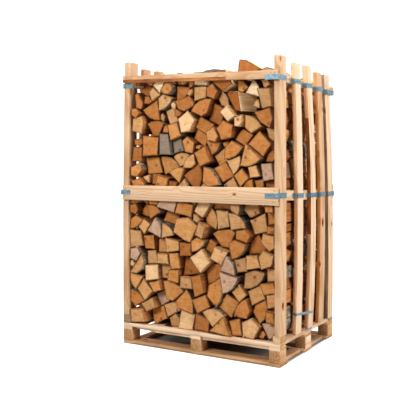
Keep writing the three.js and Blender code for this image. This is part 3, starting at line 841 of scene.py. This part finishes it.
def makeRow(node, staggeredFront, seed, held=(), grey=()):
    draw = random.Random(seed)
    low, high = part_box(node)
    rowMesh = bmesh.new()
    outlines = settle(node, draw, held)
    middles = [outline.mean(0) for outline, barkSides in outlines]
    old = {min(range(len(middles)), key=lambda i: np.hypot(*(middles[i] - spot))) for spot in grey}
    for i, (outline, barkSides) in enumerate(outlines):
        back = logs["stagger"] * mm * draw.random() ** logs["rarely"]
        if outline[:, 0].min() < low.x + 30 * mm:
            back *= 0.2  # held against the corner post
        tone = draw.random() * usualTones
        luck = draw.random()
        if middles[i][1] > topLogs["from"] and luck < topLogs["cream"] + topLogs["fresh"]:
            tone = tones["cream"] if luck < topLogs["cream"] else tones["fresh"]
        if i in old or luck > 1 - dullShare:
            tone = tones["old"] if i in old else tones["dull"]
        length, swing = high.y - low.y, 0
        if i < len(held):
            log = held[i]
            back, tone, swing = log["back"] * mm, log["tone"], log.get("swing", 0)
            outline = np.array(log.get("log", log["room"])) * mm
            length = log.get("length", length / mm - log["back"]) * mm + back
        front, end = (low.y + back, low.y + length) if staggeredFront else (low.y, high.y - back)
        addTo(rowMesh, makeLog(outline, barkSides, front, end, draw, tone, swing))
    finishPiece(rowMesh, "firewood_" + node, logMaterials, [node])
    print(node, "made:", len(outlines), "logs")


bpy.context.view_layer.update()
makeRow("log_row_front", staggeredFront=True, seed=35, held=heldLogs, grey=greyLogs)
makeRow("log_row_middle", staggeredFront=True, seed=25)
makeRow("log_row_back", staggeredFront=False, seed=22)

looseLogs = {  # on top of the stack: outlines in mm, across and up from the log's own place
    "firewood_loose_log": {
        "outline": [(-74, 4), (58, 0), (86, 18), (-18, 80), (-70, 88)], "bark": 0, "tone": 0.85,
        "place": (372, -442, 1838), "length": 280, "dip": 5, "replaces": ["log_loose_top"]},
    "firewood_bark_log": {
        "outline": [(62, 0), (55, 25), (35, 46), (0, 56), (-34, 44), (-62, 12), (-60, 0)],
        "bark": 5, "tone": 0.95, "place": (494, -436, 1806), "length": 270, "dip": 1,
        "replaces": []},
    "firewood_bark_slab": {
        "outline": [(92, 0), (60, 16), (15, 22), (-40, 18), (-88, 6), (-90, 0)], "bark": 4,
        "tone": 0.99, "place": (105, -440, 1853), "length": 270, "dip": -1, "replaces": []},
}


def makeLooseLog(name, log, draw):
    outline = np.array(log["outline"]) * mm
    bm = makeLog(outline, log["bark"], 0.0, log["length"] * mm, draw, log["tone"])
    bmesh.ops.rotate(bm, verts=bm.verts, cent=(0, 0, 0),
                     matrix=Matrix.Rotation(math.radians(-log["dip"]), 4, "X"))
    bmesh.ops.translate(bm, verts=bm.verts, vec=Vector(log["place"]) * mm)
    finishPiece(bm, name, logMaterials, log["replaces"])


looseSeed = 31
draw = random.Random(looseSeed)
for name, log in looseLogs.items():
    makeLooseLog(name, log, draw)
print("loose logs made:", len(looseLogs))


# Steel strip with three rows of holes, folded round the corners and round each side post, and
# the nails that hold it. Plain strips are a packing band left on the posts and two at their feet.
strips = {
    "thickness": 1.2, "width": 33, "saddleWidth": 31,  # mm
    "holePitch": 11, "holeRows": 3, "hole": 2.8,  # mm between holes, and their radius
    "foot": 20,  # mm of a saddle strap that lies on the rail
    "wrap": 45,  # mm of a corner strap that goes on round its post
    "clear": 1.0,  # mm above the wood
    "nailShares": (0.25, 0.72),
}
saddleHeights = {  # mm, middle of each strap
    "mid": {"second": 1051, "third": 1046, "fourth": 1044},
    "top": {"second": 1796, "third": 1787, "fourth": 1781},
}
plainStrips = {  # width, then the places it passes on the right side, in mm
    "packing_band": (16, [(566.5, -189, 279), (596.5, -189, 279), (596.5, -96, 269),
                          (599, 13, 257), (599, 84, 248)]),
    "foot_strip_third": (13, [(592, -34, 142), (592, 80, 139)]),
    "foot_strip_back": (14, [(602, 386, 139), (602, 459, 136)]),
}
nailSpots = []


def makeStrip(name, path, width, holeRows, replaced=()):
    path = [Vector(point) for point in path]
    pitch = strips["holePitch"] * mm
    counts = [max(1, round((b - a).length / pitch)) for a, b in zip(path, path[1:])]
    starts = [sum(counts[:i]) for i in range(len(counts))]
    columns, rows = 2 * sum(counts), 2 * max(1, holeRows)
    bm = bmesh.new()
    bmesh.ops.create_grid(bm, x_segments=columns, y_segments=rows, size=0.5)
    holes = []
    for v in bm.verts:
        column, row = round((v.co.x + 0.5) * columns), round((v.co.y + 0.5) * rows)
        if holeRows and column % 2 and row % 2:
            holes.append(v)
        v.co = (column / 2 * pitch, (row / rows - 0.5) * width * mm, 0)
    if holes:
        cut = bmesh.ops.bevel(bm, geom=holes, offset=strips["hole"] * mm, segments=2, profile=0.5,
                              affect="VERTICES", material=-1)
        bmesh.ops.delete(bm, geom=cut["faces"], context="FACES")
    for v in bm.verts:
        cell = v.co.x / pitch
        leg = max(i for i, start in enumerate(starts) if cell >= start - 1e-4)
        along = path[leg].lerp(path[leg + 1], (cell - starts[leg]) / counts[leg])
        v.co = along + Vector((0, 0, v.co.y))
    bm.normal_update()
    bmesh.ops.solidify(bm, geom=bm.faces[:], thickness=strips["thickness"] * mm)
    bmesh.ops.recalc_face_normals(bm, faces=bm.faces)
    return finishPiece(bm, name, [galvanised], replaced)


def nailLeg(path, leg, shares=strips["nailShares"]):
    a, b = Vector(path[leg]), Vector(path[leg + 1])
    outwards = (b - a).cross(Vector((0, 0, 1))).normalized()
    for share in shares:
        nailSpots.append((a.lerp(b, share), outwards))


def makeCornerStrap(node):
    low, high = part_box(node)
    z = (low.z + high.z) / 2
    end, side = node.split("_")[2:]
    corners = [(low.x, low.y, z), (high.x, low.y, z), (high.x, high.y, z), (low.x, high.y, z)]
    first = ["front_right", "back_right", "back_left", "front_left"].index(end + "_" + side)
    path = [corners[(first + i) % 4] for i in range(3)]  # anticlockwise, seen from above
    for leg in (0, 1):
        nailLeg(path, leg)
    if node == "strap_top_back_right":  # goes on round the front of its post
        path = [(high.x - strips["wrap"] * mm, low.y, z)] + path
    makeStrip("folded_" + node, path, strips["width"], strips["holeRows"], [node])


def makeSaddle(post, side, level, height):
    towards = 1 if side == "right" else -1
    piece = bpy.data.objects["sawn_post_" + post + "_" + side]
    rail = bpy.data.objects["sawn_rail_" + level + "_" + side]
    clear = (strips["clear"] + strips["thickness"]) * mm
    z = height * mm
    front = piece.bound_box[0][1] - clear
    back = piece.bound_box[6][1] + clear

    def outside(obj, y):
        return reach(obj, (2 * towards, y, z), (-towards, 0, 0), 0) + towards * clear
    foot = front - strips["foot"] * mm
    face = outside(piece, (front + back) / 2)
    path = [(outside(rail, foot), foot, z), (outside(rail, front), front, z), (face, front, z),
            (face, back, z), (outside(rail, back), back, z)]
    path = path if towards > 0 else path[::-1]
    nailLeg(path, 2 if towards > 0 else 1)
    nailLeg(path, 1 if towards > 0 else 2, (0.5,))
    makeStrip(f"saddle_strap_{level}_{post}_{side}", path, strips["saddleWidth"],
              strips["holeRows"])


bpy.context.view_layer.update()
strapNodes = [n for n in sorted(frame["nodes"]) if n.startswith("strap_")]
for node in strapNodes:
    makeCornerStrap(node)
for level, heights in saddleHeights.items():
    for post, height in heights.items():
        for side in ("left", "right"):
            makeSaddle(post, side, level, height)
for name, (width, path) in plainStrips.items():
    makeStrip(name, [Vector(point) * mm for point in path], width, 0)
straps = [o for o in bpy.data.objects if "_strap_" in o.name]
print("straps made:", len(straps), "and", len(plainStrips), "plain strips")

nails = {
    "radius": 3.8, "height": 1.6,  # mm, of a head
    "front": [(-568, 1082), (-572, 1034), (570, 1093), (558, 1024), (576, 1022), (-560, 1848),
              (572, 1819), (548, 1821)],  # mm, across and up, on the front rails
    "back": [(-570, 1082), (-570, 1034), (570, 1082), (570, 1034), (-570, 1824), (570, 1790)],
    "footHeight": 165, "footSpread": 22,  # mm, on the side posts above the deck
}


def makeNails():
    faceY = (bpy.data.objects["sawn_rail_mid_front"].bound_box[0][1],
             bpy.data.objects["sawn_rail_mid_back"].bound_box[6][1])
    spots = list(nailSpots)
    spots += [((x * mm, faceY[0], z * mm), (0, -1, 0)) for x, z in nails["front"]]
    spots += [((x * mm, faceY[1], z * mm), (0, 1, 0)) for x, z in nails["back"]]
    for side, towards in (("left", -1), ("right", 1)):
        for post in ("second", "third", "fourth"):
            piece = bpy.data.objects["sawn_post_" + post + "_" + side]
            middle = (piece.bound_box[0][1] + piece.bound_box[6][1]) / 2
            for step in (-1, 1):
                y = middle + step * nails["footSpread"] * mm
                z = nails["footHeight"] * mm
                x = reach(piece, (2 * towards, y, z), (-towards, 0, 0), 0)
                spots.append(((x, y, z), (towards, 0, 0)))
    bm = bmesh.new()
    for place, outwards in spots:
        turn = Vector(outwards).to_track_quat("Z", "Y").to_matrix().to_4x4()
        bmesh.ops.create_cone(bm, cap_ends=True, segments=8, radius1=nails["radius"] * mm,
                              radius2=nails["radius"] * 0.75 * mm, depth=nails["height"] * mm,
                              matrix=Matrix.Translation(place) @ turn)
    finishPiece(bm, "wire_nails", [nailSteel])
    print("nails made:", len(spots))


makeNails()


# Pale matt floor with a soft white backdrop, so that the crate's foot keeps its shadow and the
# rest is plain
studio = {
    "floorSize": 30, "floorColour": "#8C8880", "floorGlow": 1.0,
    "spill": 0.3,  # share of the floor's glow that lights the crate
    "shade": (-0.02, 0.01),  # metres outside the crate's foot, where the glow begins and is full
    "backdrop": 1.0, "sky": 0.04,  # the sky as it is seen, and as it lights the crate
    "aim": (0.0, 0.0, 0.9),
}
lamps = {  # soft lights all round, the front one a little from the left, and one above
    "front": {"power": 305, "size": 2.0, "place": (-1.2, -6.2, 4.2)},
    "right": {"power": 320, "size": 2.0, "place": (6.4, -0.9, 2.8)},
    "top": {"power": 140, "size": 2.5, "place": (0.6, -1.2, 5.2)},
    "back": {"power": 230, "size": 2.5, "place": (1.4, 6.2, 4.2)},
    "left": {"power": 200, "size": 2.5, "place": (-6.4, 0.9, 2.8)},
}
bm = bmesh.new()
bmesh.ops.create_grid(bm, x_segments=1, y_segments=1, size=studio["floorSize"] / 2)
floorMesh = bpy.data.meshes.new("floor")
bm.to_mesh(floorMesh)
bm.free()
floor = bpy.data.objects.new("floor", floorMesh)
scene.collection.objects.link(floor)
paint, tree, place = startMaterial("mattWhitePaint")
corner = [max(abs(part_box(node)[i][axis]) for node in frame["nodes"] if node.startswith("bottom_")
              for i in (0, 1)) for axis in (0, 1)]
mirrored = addNode(tree, "VectorMath", {0: place}, operation="ABSOLUTE")
past = addNode(tree, "VectorMath", {0: mirrored, 1: corner + [0.0]}, operation="SUBTRACT")
parts = addNode(tree, "SeparateXYZ", {0: past}).node.outputs
outside = addNode(tree, "Math", {0: parts[0], 1: parts[1]}, operation="MAXIMUM")
glow = addNode(tree, "MapRange", {
    "Value": outside, "From Min": studio["shade"][0], "From Max": studio["shade"][1],
    "To Max": studio["floorGlow"]}, interpolation_type="SMOOTHSTEP")
seen = addNode(tree, "LightPath", out="Is Camera Ray")
spill = addNode(tree, "MapRange", {"Value": seen, "To Min": studio["spill"]})
shown = addNode(tree, "Math", {0: glow, 1: spill}, operation="MULTIPLY")
painted = addNode(tree, "BsdfPrincipled", {
    "Base Color": hexToLinear(studio["floorColour"]), "Roughness": 0.9,
    "Emission Color": (1, 1, 1, 1), "Emission Strength": shown})
addNode(tree, "OutputMaterial", {"Surface": painted})
floorMesh.materials.append(paint)

world = bpy.data.worlds.new("studio")
world.use_nodes = True
world.node_tree.nodes.clear()
seen = addNode(world.node_tree, "LightPath", out="Is Camera Ray")
strength = addNode(world.node_tree, "MapRange", {"Value": seen, "To Min": studio["sky"],
                                                 "To Max": studio["backdrop"]})
sky = addNode(world.node_tree, "Background", {"Strength": strength, "Color": (1, 1, 1, 1)})
addNode(world.node_tree, "OutputWorld", {"Surface": sky})
scene.world = world
for name, lamp in lamps.items():
    light = bpy.data.lights.new(name, "AREA")
    light.energy = lamp["power"]
    light.size = lamp["size"]
    stand = bpy.data.objects.new(name, light)
    stand.location = lamp["place"]
    towards = Vector(studio["aim"]) - stand.location
    stand.rotation_euler = towards.to_track_quat("-Z", "Y").to_euler()
    scene.collection.objects.link(stand)

view = {
    "place": (2.38424, -4.39329, 1.28064),  # metres
    "azimuth": 30.286, "pitch": -0.63,  # degrees
    "lens": 60.58, "sensor": 36,  # mm
    "shift": -0.096,
    "reach": 60,  # metres
}
cameraData = bpy.data.cameras.new("camera")
cameraData.lens = view["lens"]
cameraData.sensor_width = view["sensor"]
cameraData.shift_y = view["shift"]
cameraData.clip_end = view["reach"]
camera = bpy.data.objects.new("camera", cameraData)
camera.location = view["place"]
camera.rotation_euler = (math.radians(90 + view["pitch"]), 0, math.radians(view["azimuth"]))
scene.collection.objects.link(camera)
scene.camera = camera
scene.view_settings.view_transform = "Standard"
scene.view_settings.look = "Medium High Contrast"
print("stage set")
